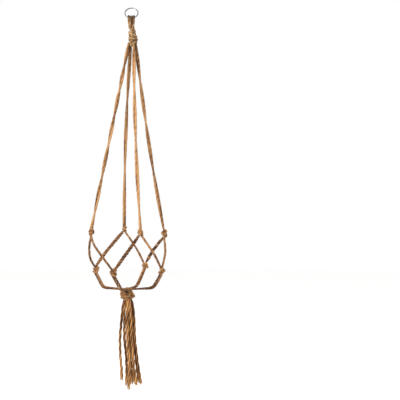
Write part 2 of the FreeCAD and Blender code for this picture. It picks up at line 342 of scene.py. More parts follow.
def smooth_noise(length_along, wavelength):
    """A slow random wave along a line, about -1 to 1."""
    knots = int(length_along[-1] / wavelength) + 4
    values = random.uniform(-1, 1, knots)
    where = length_along / wavelength
    base = np.floor(where).astype(int)
    share = where - base
    share = share * share * (3 - 2 * share)
    return values[base] * (1 - share) + values[base + 1] * share


def waves(line, sizes):
    """Sum of slow random waves along a line, each given as its wavelength and its height."""
    return sum(height * smooth_noise(line.run, wavelength) for wavelength, height in sizes)


# ---------------------------------------------------------------- meshes
# How thick a fibre's drawn tip is, against its last ring.
TIP_SHARE = 0.15


class Fibres:
    """Collects tubes, then makes one mesh of them with the attributes the jute material reads."""

    def __init__(self):
        self.places = []
        self.weave = []
        self.tone = []
        self.crease_shade = []
        self.quads = []
        self.caps = []
        self.count = 0

    def tube(self, rings, weave, tone, crease_shade, tip=False):
        """A closed tube through rings of points; tip draws its last ring to a point."""
        rows, columns = rings.shape[:2]
        index = np.arange(rows * columns).reshape(rows, columns) + self.count
        around_next = np.roll(index, -1, axis=1)
        quads = np.stack([index[:-1], around_next[:-1], around_next[1:], index[1:]], -1)
        self.quads.append(quads.reshape(-1, 4))
        self.caps.append(index[0][::-1])
        self.caps.append(index[-1])
        if tip:
            rings = rings.copy()
            end = rings[-1].mean(0)
            rings[-1] = end + (rings[-1] - end) * TIP_SHARE
        self.places.append(rings.reshape(-1, 3))
        self.weave.append(weave.reshape(-1, 3))
        self.tone.append(np.broadcast_to(tone, (rows, columns)).reshape(-1))
        self.crease_shade.append(np.broadcast_to(crease_shade, (rows, columns)).reshape(-1))
        self.count += rows * columns

    def make(self, name):
        """The mesh object."""
        quads = np.concatenate(self.quads)
        loops = np.concatenate([quads.reshape(-1), *self.caps])
        sizes = np.concatenate([np.full(len(quads), 4), [len(cap) for cap in self.caps]])
        mesh = bpy.data.meshes.new(name)
        mesh.vertices.add(self.count)
        mesh.vertices.foreach_set("co", np.concatenate(self.places).astype(np.float32).reshape(-1))
        mesh.loops.add(len(loops))
        mesh.loops.foreach_set("vertex_index", loops.astype(np.int32))
        mesh.polygons.add(len(sizes))
        starts = np.r_[0, np.cumsum(sizes)[:-1]]
        mesh.polygons.foreach_set("loop_start", starts.astype(np.int32))
        mesh.update(calc_edges=True)
        mesh.polygons.foreach_set("use_smooth", np.ones(len(sizes), bool))
        for attribute, kind, values in (
            ("weave", "FLOAT_VECTOR", np.concatenate(self.weave)),
            ("tone", "FLOAT", np.concatenate(self.tone)),
            ("crease_shade", "FLOAT", np.concatenate(self.crease_shade)),
        ):
            layer = mesh.attributes.new(attribute, kind, "POINT")
            field = "vector" if kind == "FLOAT_VECTOR" else "value"
            layer.data.foreach_set(field, values.astype(np.float32).reshape(-1))
        mesh.validate()
        piece = bpy.data.objects.new(name, mesh)
        bpy.context.collection.objects.link(piece)
        return piece


PLIES = 3
PLY_SIDES = 8
# Length of one turn of the plies, a ply's thickness and how far its middle lies from the cord's
# line, all in diameters of the cord.
LAY = 3.3
PLY_ROUND = 0.66
PLY_REACH = 0.27
# Random waves along a cord, each a wavelength and a height.
TONE_WAVES = ((0.055, 0.20), (0.017, 0.14))
PLY_TONE_WAVES = ((0.03, 0.10),)
THICKNESS_WAVES = ((0.011, 0.07), (0.0045, 0.04))
REACH_WAVES = ((0.02, 0.10),)
WANDER_WAVES = ((0.016, 0.18),)
SWELL_WAVES = ((0.02, 0.05),)
# How much the plies differ in tone as a rule.
USUAL_MIX = 0.10
# How fast the fibres turn about their own ply.
YARN_TWIST = 0.45


def add_plies(
    fibres, line, diameter, tone, swell=None, spread=None, thin=None, lay=LAY, lead=None, mixed=USUAL_MIX
):
    """Three plies wound along a line; gives the way the first ply points at the line's end.

    swell scales the cord's thickness along the line, spread moves the plies apart and thin
    narrows them, each a value per point of the line.  lead is the way the first ply points at
    the line's start, so that a cord runs on into its knot.  mixed is how much the plies differ
    in tone; a cord of more mixed plies also changes more in tone along its length.
    """
    ones = np.ones(len(line.run))
    swell = ones if swell is None else swell
    spread = ones if spread is None else spread
    thin = ones if thin is None else thin
    phase = random.uniform(0, 2 * math.pi)
    if lead is not None:
        phase = math.atan2(np.dot(lead, line.side[0]), np.dot(lead, line.normal[0]))
    turn_rate = 2 * math.pi / (lay * diameter * swell)
    turned = np.r_[0, np.cumsum((turn_rate[1:] + turn_rate[:-1]) / 2 * np.diff(line.run))]
    slow_tone = waves(line, TONE_WAVES) * min(max(mixed / USUAL_MIX, 0.5), 1.5)
    for ply in range(PLIES):
        uneven = 1 + waves(line, THICKNESS_WAVES)
        reach = diameter * PLY_REACH * swell * spread * (1 + waves(line, REACH_WAVES))
        yarn_radius = diameter * PLY_ROUND / 2
        radius = yarn_radius * swell * uneven * thin
        settled = np.clip(np.minimum(line.run, line.length - line.run) / (2 * diameter), 0, 1)
        wander = waves(line, WANDER_WAVES) * settled
        angle = turned + phase + 2 * math.pi * ply / PLIES + wander
        cosine, sine = np.cos(angle)[:, None], np.sin(angle)[:, None]
        outward = line.normal * cosine + line.side * sine
        turning = line.side * cosine - line.normal * sine
        centre = line.place + outward * reach[:, None]
        slope = (reach * turn_rate)[:, None]
        forward = line.along + turning * slope
        forward /= np.linalg.norm(forward, axis=1, keepdims=True)
        sideways = np.cross(forward, outward)
        corners = np.arange(PLY_SIDES) * 2 * math.pi / PLY_SIDES
        up = outward[:, None] * np.cos(corners)[None, :, None]
        across = sideways[:, None] * np.sin(corners)[None, :, None]
        rings = centre[:, None] + (up + across) * radius[:, None, None]
        yarn = corners[None] - line.run[:, None] * YARN_TWIST / yarn_radius
        offset = random.uniform(0, 10)
        weave = np.stack([
            np.cos(yarn) * yarn_radius + offset,
            np.sin(yarn) * yarn_radius + offset,
            np.broadcast_to(line.run[:, None], yarn.shape),
        ], -1)
        ply_tone = tone + (ply - 1) * mixed + slow_tone + waves(line, PLY_TONE_WAVES)
        # Painted shade: each ply is darker on its inner side, in the creases between the plies, and lighter
        # on its outer crest.
        crease_shade = 0.5 + 0.5 * np.cos(corners)[None]
        fibres.tube(rings, weave, ply_tone[:, None], crease_shade)
    last = turned[-1] + phase
    return line.normal[-1] * math.cos(last) + line.side[-1] * math.sin(last)


HAIR_SIDES = 3
HAIR_POINTS = 5
LONGEST_HAIR = 0.009
SHORTEST_HAIR = 0.002
HAIR_TONE = 0.3
# Where a hair starts, as a share of the cord's radius.
HAIR_ROOT = 0.86


def add_hairs(fibres, line, diameter, per_metre, reach=0.0014):
    """Loose fibres that lift off a cord's surface, up to a reach, and run along it."""
    for _ in range(int(line.length * per_metre)):
        start = random.uniform(0, line.length)
        stretch = random.uniform(0.3, 1.0) * LONGEST_HAIR * random.choice([-1, 1])
        end = np.clip(start + stretch, 0, line.length)
        if abs(end - start) < SHORTEST_HAIR:
            continue
        share = np.linspace(0, 1, HAIR_POINTS)
        at = start + (end - start) * share
        turn = random.uniform(0, 2 * math.pi) + random.uniform(-1.2, 1.2) * share
        lift = diameter / 2 * HAIR_ROOT + reach * random.uniform(0.3, 1.0) * share ** 1.4
        radius = random.uniform(0.00006, 0.00012)
        tone = HAIR_TONE + random.uniform(-0.1, 0.3)
        add_fibre(fibres, beside(line, at, turn, lift), radius, tone)


def beside(line, at, turn, lift):
    """Points beside a line: how far along it, which way out and how far out each one lies."""
    row = np.clip(np.searchsorted(line.run, at), 0, len(line.run) - 1)
    outward = line.normal[row] * np.cos(turn)[:, None] + line.side[row] * np.sin(turn)[:, None]
    on_line = np.stack([np.interp(at, line.run, line.place[:, axis]) for axis in range(3)], 1)
    return on_line + outward * lift[:, None]


def add_fibre(fibres, centre, radius, tone):
    """One thin tapered fibre through a few points."""
    along = np.gradient(centre, axis=0)
    along /= np.linalg.norm(along, axis=1, keepdims=True)
    across = np.cross(along, ASKEW_HAIR)
    across /= np.linalg.norm(across, axis=1, keepdims=True)
    other = np.cross(along, across)
    corners = np.arange(HAIR_SIDES) * 2 * math.pi / HAIR_SIDES
    taper = np.linspace(1, 0.4, len(centre))[:, None, None] * radius
    up = across[:, None] * np.cos(corners)[None, :, None]
    aside = other[:, None] * np.sin(corners)[None, :, None]
    rings = centre[:, None] + (up + aside) * taper
    weave = np.broadcast_to(random.uniform(0, 10, 3), rings.shape)
    # A loose fibre gets no painted crease shade.
    fibres.tube(rings, weave, tone, 1.0, tip=True)


# ---------------------------------------------------------------- materials
def socket(shader, name, value):
    """Sets a shader's own input."""
    shader.inputs[name].default_value = value


def new_material(name):
    """A new material with its node tree and its main shader."""
    material = bpy.data.materials.new(name)
    material.use_nodes = True
    tree = material.node_tree
    return material, tree, tree.nodes["Principled BSDF"]


def add_node(tree, kind, values=None, links=None, **settings):
    """A node with its settings, its inputs' values, and links into its inputs."""
    node = tree.nodes.new("ShaderNode" + kind)
    for name, setting in settings.items():
        setattr(node, name, setting)
    for name, value in (values or {}).items():
        node.inputs[name].default_value = value
    for name, source in (links or {}).items():
        tree.links.new(source, node.inputs[name])
    return node


def colour_from(tree, shader, source, *stops):
    """Colours a shader by a ramp through stops, each a position and a colour."""
    ramp = add_node(tree, "ValToRGB", links={"Fac": source})
    elements = ramp.color_ramp.elements
    ends = [elements[0], elements[1]]
    for element, (position, colour) in zip(ends, (stops[0], stops[-1])):
        element.position = position
        element.color = (*colour, 1)
    for position, colour in stops[1:-1]:
        elements.new(position).color = (*colour, 1)
    tree.links.new(ramp.outputs["Color"], shader.inputs["Base Color"])


def roughen(tree, shader, grain, smoothest, roughest, strength, depth):
    """Lets a noise vary a shader's roughness and raise its surface."""
    rough = add_node(tree, "MapRange", {"To Min": smoothest, "To Max": roughest}, {"Value": grain})
    tree.links.new(rough.outputs["Result"], shader.inputs["Roughness"])
    bump = add_node(tree, "Bump", {"Strength": strength, "Distance": depth}, {"Height": grain})
    tree.links.new(bump.outputs["Normal"], shader.inputs["Normal"])


def jute_material(name, dark, mid, light, lift):
    """Dry plant fibre: streaks along the yarn, slow colour drift, painted shade in the creases between
    plies with painted light on their crests, and a soft sheen.
    """
    material, tree, shader = new_material(name)
    weave = add_node(tree, "Attribute", attribute_name="weave").outputs["Vector"]
    tone = add_node(tree, "Attribute", attribute_name="tone").outputs["Fac"]
    crease_shade = add_node(tree, "Attribute", attribute_name="crease_shade").outputs["Fac"]

    stretched = add_node(tree, "Mapping", {"Scale": (3600, 3600, 160)}, {"Vector": weave})
    fine = {"Scale": 1.0, "Detail": 3.0, "Roughness": 0.6}
    streaks = add_node(tree, "TexNoise", fine, {"Vector": stretched.outputs["Vector"]}).outputs["Fac"]
    scaled = add_node(tree, "Mapping", {"Scale": (220, 220, 130)}, {"Vector": weave})
    coarse = {"Scale": 1.0, "Detail": 2.0}
    blotches = add_node(tree, "TexNoise", coarse, {"Vector": scaled.outputs["Vector"]}).outputs["Fac"]

    value = add_node(tree, "Math", {1: lift}, {0: tone}, operation="ADD").outputs[0]
    # The crease share adds painted shade in the creases between plies and painted light on their crests.
    for source, share in ((streaks, 0.80), (blotches, 0.50), (crease_shade, 0.60)):
        added = add_node(tree, "Math", {1: share}, {0: source, 2: value}, operation="MULTIPLY_ADD")
        value = added.outputs[0]

    colour_from(tree, shader, value, (0.35, dark), (0.68, mid), (1.0, light))
    roughen(tree, shader, streaks, smoothest=0.72, roughest=0.95, strength=0.8, depth=0.00025)
    socket(shader, "Sheen Weight", 0.08)
    socket(shader, "Sheen Roughness", 0.5)
    socket(shader, "Sheen Tint", (1.0, 0.86, 0.62, 1))
    socket(shader, "Specular IOR Level", 0.15)
    return material


def metal_material(name):
    """Plated steel wire with faint specks of wear."""
    material, tree, shader = new_material(name)
    place = add_node(tree, "TexCoord").outputs["Object"]
    grain = add_node(tree, "TexNoise", {"Scale": 420, "Detail": 4}, {"Vector": place}).outputs["Fac"]
    colour_from(tree, shader, grain, (0.32, (0.055, 0.055, 0.052)), (0.55, (0.19, 0.19, 0.185)))
    roughen(tree, shader, grain, smoothest=0.30, roughest=0.48, strength=0.25, depth=0.00005)
    socket(shader, "Metallic", 1.0)
    return material


# Jute's colours: darkest, where painted shade in the creases meets dark streaks; in the main; and lightest,
# where painted light on the crests meets pale streaks.
CORD_COLOURS = [(0.030, 0.011, 0.004), (0.150, 0.066, 0.025), (0.34, 0.185, 0.080)]
# The loops and the top knot are a greyer, greener brown than the rest.
TOP_COLOURS = [(0.027, 0.012, 0.005), (0.136, 0.070, 0.030), (0.320, 0.205, 0.098)]
KNOT_COLOURS = [(0.026, 0.009, 0.003), (0.130, 0.055, 0.020), (0.32, 0.170, 0.070)]
TASSEL_COLOURS = [(0.028, 0.009, 0.002), (0.125, 0.050, 0.014), (0.33, 0.165, 0.058)]
JUTE = {
    "jute_cord": jute_material("jute_cord", *CORD_COLOURS, -0.26),
    "jute_top": jute_material("jute_top", *TOP_COLOURS, -0.27),
    "jute_knot": jute_material("jute_knot", *KNOT_COLOURS, -0.28),
    "jute_tassel": jute_material("jute_tassel", *TASSEL_COLOURS, -0.26),
}


def dress(piece, material, slot_name, body, *nodes):
    """Gives a piece its material, and sets it in place of CAD nodes on a body. slot_name is not used."""
    piece.data.materials.append(material)
    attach(piece, body)
    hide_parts(*nodes)


# ---------------------------------------------------------------- free stretches of cord
HAIRS_PER_METRE = 260
# Each cord's line by name, and by name and end (True for its far end) the way its first ply points.
LINES = {}
LEADS = {}


def lay_line(name, route):
    """Keeps the line of one cord."""
    LINES[name] = Line(spline_points(route))


def entering(name, at_end):
    """Where a cord's far end, or else its near end, enters a knot and the way it runs there."""
    line = LINES[name]
    if at_end:
        return line.place[-1], line.along[-1]
    return line.place[0], -line.along[0]


def leaving(name):
    """Where a cord leaves a knot and the way it runs there."""
    line = LINES[name]
    return line.place[0], line.along[0]


def tapered(line, at_ends, inside, reach=0.022):
    """Thickness along a cord that changes from its ends to its middle."""
    share = np.clip(np.minimum(line.run, line.length - line.run) / reach, 0, 1)
    share = share * share * (3 - 2 * share)
    return (at_ends + (inside - at_ends) * share) * (1 + waves(line, SWELL_WAVES))


def cord_piece(name, diameter, tone, swell=None, mixed=USUAL_MIX, jute="jute_cord"):
    """One tight stretch of cord between two knots."""
    line = LINES[name]
    fibres = Fibres()
    lead = LEADS.get((name, False))
    LEADS[name, True] = add_plies(fibres, line, diameter, tone, swell, lead=lead, mixed=mixed)
    add_hairs(fibres, line, diameter, HAIRS_PER_METRE)
    piece = fibres.make("cord_" + name)
    dress(piece, JUTE[jute], "jute_cord", "hanger", name)


def lay_loops():
    """The four cords folded over the ring."""
    foot = top_of("top_knot") - SINK
    for number, (across, entry) in enumerate(zip(LOOPS_ACROSS, LOOP_ENTRIES), start=1):
        drop = RING_RADIUS - RING_WIRE + math.sqrt(RING_RADIUS ** 2 - across ** 2)
        wire_y = -drop * math.sin(RING_LEAN)
        wire_z = -drop * math.cos(RING_LEAN)
        entry_x, half_y, entry_y = entry
        half_x = across + (entry_x - across) * LOOP_DRAWN_IN
        half_z = wire_z - LOOP_HALF_WAY
        lay_line(f"ring_loop_{number}", [
            Vector((entry_x, PIVOT.y - entry_y, foot)),
            Vector((half_x, PIVOT.y - half_y, half_z)),
            Vector((across, wire_y - LOOP_REACH, wire_z - LOOP_SIDE)),
            Vector((across, wire_y - LOOP_REACH, wire_z + LOOP_REACH)),
            Vector((across, wire_y + LOOP_REACH, wire_z + LOOP_REACH)),
            Vector((across, wire_y + LOOP_REACH, wire_z - LOOP_SIDE)),
            Vector((half_x, PIVOT.y + half_y, half_z)),
            Vector((entry_x, PIVOT.y + entry_y, foot)),
        ])


def eased_share(turned):
    """How far down a leg the pair has made a given part of its turns."""
    most = 1 + TWIST_EASE
    return (most - math.sqrt(most ** 2 - 4 * TWIST_EASE * turned)) / (2 * TWIST_EASE)


def lay_legs():
    """The four twisted pairs."""
    head = foot_of("top_knot") + SINK
    for name, (across, back, turns, steps, bow) in LEGS.items():
        start = Vector((across, PIVOT.y + back, head))
        knot = middle("upper_knot_" + name)
        end = Vector((knot.x, knot.y, top_of("upper_knot_" + name) - SINK))
        centres = []
        for index in range(steps + 1):
            share = eased_share(index / steps)
            bowed = Vector((4 * bow * share * (1 - share), 0, 0))
            centres.append(start + (end - start) * share + bowed)
        angles = [360 * turns * index / steps for index in range(steps + 1)]
        routes = paired_routes(centres, Vector((0, 1, 0)), angles, CORD)
        for letter, route in zip("ab", routes):
            lay_line(f"leg_{name}_{letter}", route)


def lay_net():
    """The eight single cords of the net."""
    for name, (_, places) in NET.items():
        lay_line("net_" + name, [around(BASKET_AXIS, *place) for place in places])


def lay_base():
    """The four pairs under the pot."""
    for name, (places, angles, opening) in BASE.items():
        centres = [around(BASKET_AXIS, *place) for place in places]
        routes = paired_routes(centres, tangential(places[0][0]), angles, CORD, opening)
        for letter, route in zip("ab", routes):
            lay_line(f"base_{name}_{letter}", route)


def lay_tassel():
    """The eight slack strands."""
    for number, (azimuth, places) in enumerate(STRANDS, start=1):
        hinge = Vector(JOINTS[f"strand_{number}_swing"]["pos_m"])
        out, side = radial(azimuth), tangential(azimuth)
        route = []
        for outward, sideways, down in STRAND_HEAD + places:
            route.append(hinge + out * outward + side * sideways - Vector((0, 0, down)))
        lay_line(f"tassel_strand_{number}", route)


# ---------------------------------------------------------------- knots
# Spacing of the solver's points, and how many at each end of a strand stay where they are.
SOLVE_SPACING = 0.0016
HELD = 3
# Rounds in all; the strands start at a part of their thickness and reach it all part of the way on.
ROUNDS = 240
FIRST_THICKNESS = 0.25
FULL_BY = 0.6
# Each round pulls every point part of the way to its neighbours' middle, then pushes some times.
PULL = 0.35
PUSHES = 4
# How many rounds go by between searches for near pairs, and between evening out the points.
SEARCH_EVERY = 6
EVEN_EVERY = 5
# The loose knot's curve: how far its parameter runs each way, its points, and what counts as its
# own width and height.
CURVE_REACH = 2.1
CURVE_POINTS = 120
CURVE_WIDTH = 8
CURVE_HEIGHT = 40
# How widely the strands start round the curve, and how much of their loose length they keep.
BUNDLE = 0.165
KEPT_LENGTH = 0.62


def spaced(points, count):
    """The same line with its points evenly spaced."""
    run = np.r_[0, np.cumsum(np.linalg.norm(np.diff(points, axis=0), axis=1))]
    at = np.linspace(0, run[-1], count)
    return np.stack([np.interp(at, run, points[:, axis]) for axis in range(3)], 1)


def near_pairs(points, first, second, strand, reach, skip):
    """Pairs of segments that lie near each other, apart from neighbours on one strand."""
    centre = (points[first] + points[second]) / 2
    gap = np.linalg.norm(centre[:, None] - centre[None], axis=2)
    one, other = np.nonzero(np.triu(gap < reach, 1))
    keep = (strand[first[one]] != strand[first[other]]) | (np.abs(one - other) > skip)
    return one[keep], other[keep]


def nearest_shares(start, ahead, other_start, other_ahead):
    """How far along two segments their nearest points lie."""
    between = start - other_start
    own = np.maximum((ahead * ahead).sum(1), 1e-16)
    others = np.maximum((other_ahead * other_ahead).sum(1), 1e-16)
    cross = (ahead * other_ahead).sum(1)
    own_gap = (ahead * between).sum(1)
    other_gap = (other_ahead * between).sum(1)
    spread = own * others - cross * cross
    crossing = (cross * other_gap - own_gap * others) / np.maximum(spread, 1e-20)
    share = np.clip(np.where(spread > 1e-20, crossing, 0.5), 0, 1)
    other_share = np.clip((cross * share + other_gap) / others, 0, 1)
    share = np.clip((cross * other_share - own_gap) / own, 0, 1)
    return share[:, None], other_share[:, None]


def push_apart(points, free, first, second, pairs, diameter):
    """Moves touching segments until their centre lines stand a diameter apart."""
    a, b = first[pairs[0]], second[pairs[0]]
    c, d = first[pairs[1]], second[pairs[1]]
    share, other_share = nearest_shares(points[a], points[b] - points[a], points[c], points[d] - points[c])
    own = points[a] * (1 - share) + points[b] * share
    gap = own - points[c] * (1 - other_share) - points[d] * other_share
    far = np.linalg.norm(gap, axis=1)
    hit = far < diameter
    if not hit.any():
        return
    share, other_share = share[hit], other_share[hit]
    move = gap[hit] / np.maximum(far[hit], 1e-7)[:, None] * ((diameter - far[hit]) / 2)[:, None]
    index = np.concatenate([a[hit], b[hit], c[hit], d[hit]])
    weight = np.concatenate([1 - share, share, 1 - other_share, other_share])
    moves = np.concatenate([move, move, -move, -move]) * weight
    count = len(points)
    total = np.stack([np.bincount(index, moves[:, axis], count) for axis in range(3)], 1)
    points += total / np.maximum(np.bincount(index, weight[:, 0], count), 1)[:, None] * free


def tighten(strands, diameter):
    """Draws loose strands tight: they shorten, thicken and push each other apart."""
    sizes = [len(strand) for strand in strands]
    points = np.concatenate(strands)
    strand = np.repeat(np.arange(len(strands)), sizes)
    ends = np.cumsum(sizes)
    starts = ends - sizes
    free = np.ones((len(points), 1))
    for start, end in zip(starts, ends):
        free[start:start + HELD] = 0
        free[end - HELD:end] = 0
    first = np.nonzero(strand[:-1] == strand[1:])[0]
    second = first + 1
    inner = np.nonzero((strand[:-2] == strand[1:-1]) & (strand[1:-1] == strand[2:]))[0] + 1
    for step in range(ROUNDS):
        grown = diameter * min(1, FIRST_THICKNESS + (1 - FIRST_THICKNESS) * step / (FULL_BY * ROUNDS))
        if step % SEARCH_EVERY == 0:
            length = np.linalg.norm(points[second] - points[first], axis=1)
            # Segments of one strand that are no further apart than this along it don't push.
            skip = int(1.3 * diameter / np.median(length)) + 2
            pairs = near_pairs(points, first, second, strand, length.max() + 1.25 * grown, skip)
        pulled = (points[inner - 1] + points[inner + 1]) / 2 - points[inner]
        points[inner] += PULL * pulled * free[inner]
        for _ in range(PUSHES):
            push_apart(points, free, first, second, pairs, grown)
        if step % EVEN_EVERY == EVEN_EVERY - 1:
            for start, end in zip(starts, ends):
                inside = slice(start + HELD - 1, end - HELD + 1)
                points[inside] = spaced(points[inside], inside.stop - inside.start)
    return [points[start:end] for start, end in zip(starts, ends)]


def loose_overhand(centre, width, height, turn, hand, lean):
    """Centre line of a loose overhand knot, in at the top and out at the bottom.

    turn spins it about Z, and lean then tips its right side down.
    """
    share = np.linspace(CURVE_REACH, -CURVE_REACH, CURVE_POINTS)
    line = np.stack([share ** 3 - 3 * share, share ** 4 - 4 * share ** 2, share ** 5 - 10 * share], 1)
    line *= (hand * width / CURVE_WIDTH, width / CURVE_WIDTH, height / CURVE_HEIGHT)
    line[:, 1] -= line[:, 1].mean()
    cosine, sine = math.cos(turn), math.sin(turn)
    line = line @ np.array([[cosine, sine, 0], [-sine, cosine, 0], [0, 0, 1]])
    cosine, sine = math.cos(lean), math.sin(lean)
    return line @ np.array([[cosine, 0, -sine], [0, 1, 0], [sine, 0, cosine]]) + np.array(centre)


def overhand(entries, exits, centre, diameter, width, height, turn, hand=1, tall=1.0, lean=0.0):
    """Strands tied together in one overhand knot.

    entries and exits hold where each strand starts and ends and the way it runs there.  tall
    stretches the tightened knot along Z.
    """
    scale = np.array([1, 1, 1 / tall])
    guide = Line(loose_overhand(centre, width, height, turn, hand, lean), SOLVE_SPACING)
    strands = []
    for number, ((start, start_way), (end, end_way)) in enumerate(zip(entries, exits)):
        angle = 2 * math.pi * number / len(entries)
        reach = BUNDLE * diameter / math.sin(math.pi / len(entries))
        body = guide.place + (guide.normal * math.cos(angle) + guide.side * math.sin(angle)) * reach
        steps = np.arange(HELD + 1)[:, None] * SOLVE_SPACING
        head = np.array(start) + np.array(start_way) * steps
        tail = (np.array(end) - np.array(end_way) * steps)[::-1]
        loose = np.concatenate([head[-1:], body, tail[:1]])
        run = np.linalg.norm(np.diff(loose, axis=0), axis=1).sum()
        loose = spaced(loose, int(KEPT_LENGTH * run / SOLVE_SPACING))
        strands.append(np.concatenate([head[:-1], loose, tail[1:]]) * scale)
    return [strand / scale for strand in tighten(strands, diameter)]


def smoothed(points):
    """A line with its small kinks eased."""
    points = points.copy()
    for _ in range(2):
        points[1:-1] = points[1:-1] / 2 + (points[:-2] + points[2:]) / 4
    return points


# A knot's cords: the spacing of their points, their loose fibres, and how far right of its middle a
# knot has made the whole of its drift in tone.
KNOT_SAMPLE = 0.0011
KNOT_HAIRS_PER_METRE = 320
KNOT_HAIR_REACH = 0.0018
DRIFT_REACH = 0.02


def tied_piece(name, entries, exits, sizes, diameter, tones, drift=0.0, jute="jute_knot"):
    """One knot as a piece: its strands run on from the cords that enter it to those that leave.

    An entry is a cord's name and whether its far end enters; an exit is a cord's name.  drift is
    how much lighter the knot is at DRIFT_REACH to the right of its middle.
    """
    strands = overhand([entering(*entry) for entry in entries], [leaving(exit) for exit in exits], **sizes)
    fibres = Fibres()
    for entry, exit, strand, tone in zip(entries, exits, strands, tones):
        line = Line(smoothed(strand), KNOT_SAMPLE)
        tone = tone + drift * (line.place[:, 0] - sizes["centre"].x) / DRIFT_REACH
        LEADS[exit, False] = add_plies(fibres, line, diameter, tone, lead=LEADS.get(entry))
        add_hairs(fibres, line, diameter, KNOT_HAIRS_PER_METRE, reach=KNOT_HAIR_REACH)
    piece = fibres.make(name + "_tied")
    dress(piece, JUTE[jute], "jute_knot", "hanger", name)


# Each kind of knot: how thick its cords are drawn, and what the solver is given.
TOP_KNOT_CORD = 0.0040
TOP_KNOT_SIZES = dict(diameter=0.0031, width=0.030, height=0.034, turn=4.7, tall=2.0)
SMALL_KNOT_CORD = 0.0042
SMALL_KNOT_SIZES = dict(diameter=0.0036, width=0.024, height=0.018, tall=1.4)
SMALL_KNOT_TONES = (0.02, -0.16)
GATHERING_KNOT_CORD = 0.0052
GATHERING_KNOT_SIZES = dict(diameter=0.0046, width=0.050, height=0.022, turn=2.2, tall=0.62, lean=0.3)
GATHERING_KNOT_DRIFT = 0.08
GATHERING_KNOT_DROP = 0.004


def small_knot(name, entries, exits, turn, hand):
    """An overhand knot tied in two cords."""
    sizes = dict(SMALL_KNOT_SIZES, centre=middle(name), turn=turn, hand=hand)
    tied_piece(name, entries, exits, sizes, SMALL_KNOT_CORD, SMALL_KNOT_TONES)


def nets_from(leg):
    """The net cords that leave a leg's foot."""
    return ["net_" + net for net in NET if net.startswith(leg + "_to_")]


def nets_to(knot):
    """The net cords that meet in a lower knot."""
    return ["net_" + net for net in NET if net.endswith("_to_" + knot)]


# How thick the loosely laid cords are at their knots, and how much their plies differ in tone.
THICK_ENDS = {"back_to_back_left": 0.88, "front_to_front_left": 0.78, "right_to_back_right": 0.58}
MIXED = {"back_to_back_left": 0.04, "front_to_front_left": 0.04, "right_to_back_right": 0.30}
NET_MIX = 0.08
LEG_SWELL = 1.10
NET_SWELL = 1.05
OPEN_CORD_DARKER = 0.08
# How much painted shade darkens a leg at the top knot, and over what length.
LEG_TOP_SHADE = 0.20
LEG_TOP = 0.09
# A loop's fold over the ring: how long it is, how much painted shade darkens it where it wraps the ring,
# and how much thinner it is.
FOLD = 0.010
FOLD_SHADE = 0.22
FOLD_THINNER = 0.20
# A base pair's tones; how much painted shade darkens its last stretch, that stretch, and the change before
# it.
BASE_TONES = (-0.24, -0.33)
BASE_SHADE = 0.12
BASE_LAST = 0.04
BASE_CHANGE = 0.02
# The tones of each leg's two cords, and how far each small knot is turned about Z, in radians.
LEG_TONES = {"left": (-0.12, 0.06), "back": (-0.14, 0.10), "front": (0.14, -0.02), "right": (0.04, -0.12)}
UPPER_TURNS = {"left": 0.4, "back": 1.9, "front": 3.1, "right": 4.6}
LOWER_TURNS = {"back_left": 2.4, "front_left": 5.5, "back_right": 3.6, "front_right": 1.2}


def make_top():
    """The loops and the top knot."""
    entries = []
    for number in range(1, 5):
        line = LINES[f"ring_loop_{number}"]
        fold = np.exp(-((line.run - line.length / 2) / FOLD) ** 2)
        # Painted shade darkens the fold over the ring.
        tone = random.uniform(-0.34, -0.22) - FOLD_SHADE * fold
        cord_piece(f"ring_loop_{number}", CORD, tone, 1 - FOLD_THINNER * fold, jute="jute_top")
        entries += [(f"ring_loop_{number}", False), (f"ring_loop_{number}", True)]
    exits = [f"leg_{name}_{letter}" for name in LEGS for letter in "ab"]
    sizes = dict(TOP_KNOT_SIZES, centre=TOP_KNOT)
    tones = random.uniform(-0.22, 0.08, len(entries))
    tied_piece("top_knot", entries, exits, sizes, TOP_KNOT_CORD, tones, jute="jute_top")


def leg_tone(line, tone):
    """A leg's tone, darkened by painted shade where it leaves the top knot."""
    return tone - LEG_TOP_SHADE * np.clip(1 - line.run / LEG_TOP, 0, 1)


def make_basket():
    """Legs, net, base and the knots between them, from the top down."""
    for name in LEGS:
        for letter, tone in zip("ab", LEG_TONES[name]):
            line = LINES[f"leg_{name}_{letter}"]
            swell = tapered(line, 1.0, LEG_SWELL)
            cord_piece(f"leg_{name}_{letter}", CORD, leg_tone(line, tone), swell)
        entries = [(f"leg_{name}_{letter}", True) for letter in "ab"]
        small_knot("upper_knot_" + name, entries, nets_from(name), UPPER_TURNS[name], 1)
    for name, (diameter, _) in NET.items():
        tone = random.uniform(-0.30, -0.18) - (OPEN_CORD_DARKER if diameter == OPEN_CORD else 0)
        swell = tapered(LINES["net_" + name], THICK_ENDS.get(name, 1.0), NET_SWELL)
        cord_piece("net_" + name, diameter, tone, swell, MIXED.get(name, NET_MIX))
    for name in BASE:
        entries = [(net, True) for net in nets_to(name)]
        exits = [f"base_{name}_{letter}" for letter in "ab"]
        small_knot("lower_knot_" + name, entries, exits, LOWER_TURNS[name], -1)
        for letter, tone in zip("ab", BASE_TONES):
            line = LINES[f"base_{name}_{letter}"]
            left = line.length - line.run
            # Painted shade darkens the last stretch of the cord before the gathering knot.
            dark = np.clip(1 - (left - BASE_LAST) / BASE_CHANGE, 0, 1)
            cord_piece(f"base_{name}_{letter}", CORD, tone - BASE_SHADE * dark)


